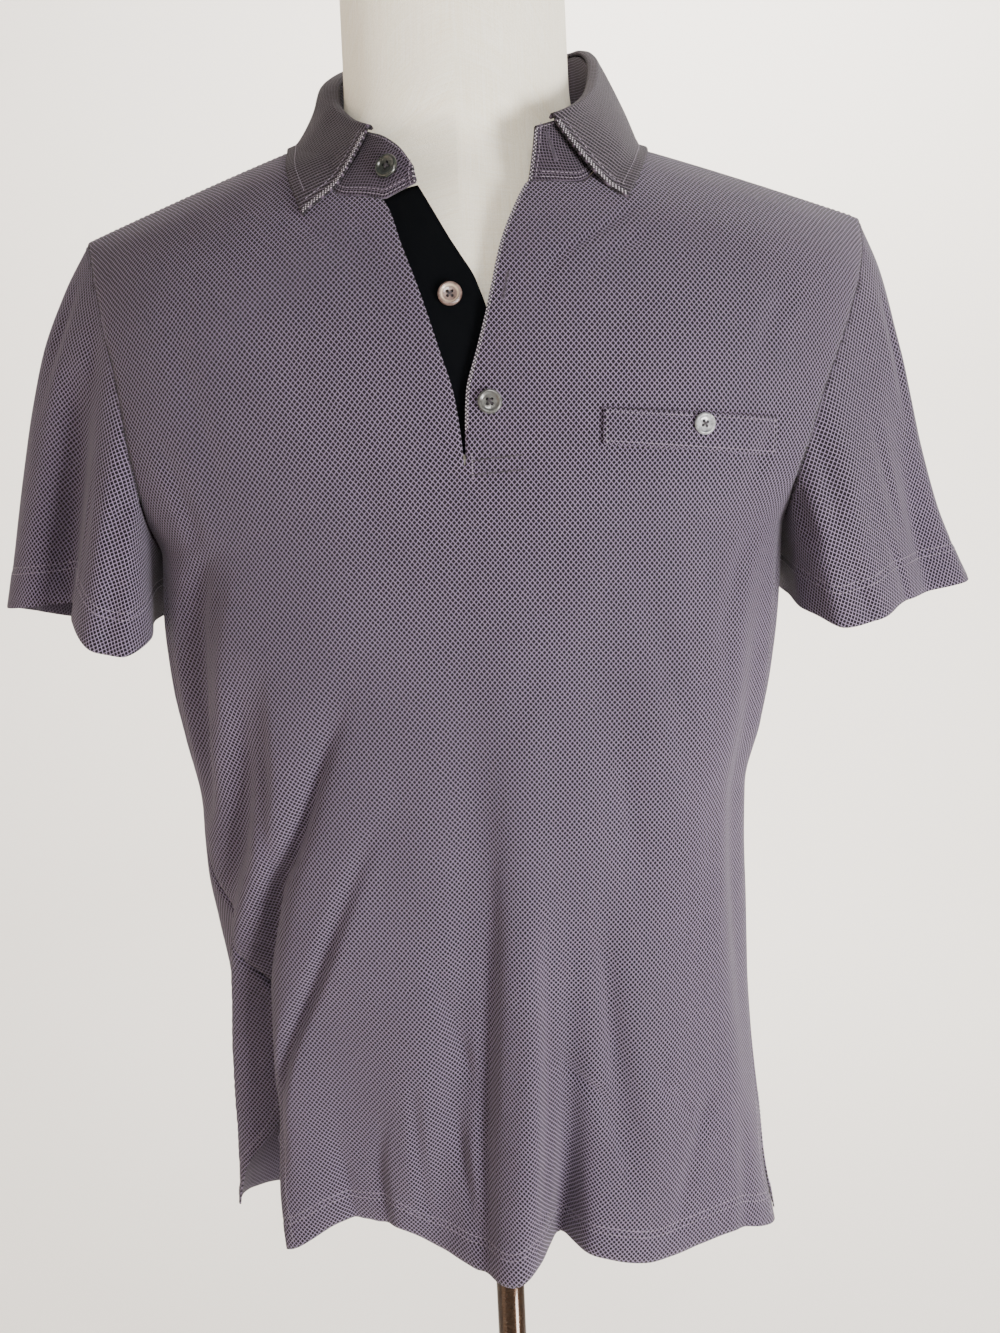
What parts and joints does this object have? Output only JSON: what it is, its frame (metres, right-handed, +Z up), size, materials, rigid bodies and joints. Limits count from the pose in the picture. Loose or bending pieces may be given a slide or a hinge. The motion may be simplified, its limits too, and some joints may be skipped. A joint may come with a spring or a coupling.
{
  "type": "polo shirt on dress form",
  "caption": "Short-sleeved polo shirt with an open placket, collar and welt pocket, on a limbless dress form with pole and round base.",
  "frame": {"origin": "on the floor, at the middle of the base's flat underside, on the pole's axis", "axes": "+Z up along the pole; the shirt's front faces -Y; +X to the viewer's right, the wearer's left"},
  "size_m": [0.592, 0.3, 1.125],
  "materials": {
    "shirt_knit": "fine two-tone knit, mauve with dark dots",
    "placket_dark": "plain dark woven",
    "button_dark": "glossy dark",
    "button_rose": "glossy rose brown",
    "button_smoke": "glossy smoke grey",
    "button_grey": "glossy pale grey",
    "form_linen": "ivory linen cover",
    "pole_bronze": "glossy dark bronze",
    "base_bronze": "satin dark bronze"
  },
  "bodies": {
    "root": {"front": "shirt_knit", "back": "shirt_knit", "sleeve_left": "shirt_knit", "sleeve_right": "shirt_knit", "collar_stand": "shirt_knit", "collar_leaf": "shirt_knit", "over_placket": "shirt_knit", "pocket_welt": "shirt_knit", "under_placket": "placket_dark", "button_stand": "button_dark", "button_upper": "button_rose", "button_lower": "button_smoke", "button_pocket": "button_grey", "dress_form": "form_linen", "pole": "pole_bronze", "base": "base_bronze"}
  },
  "joints": []
}
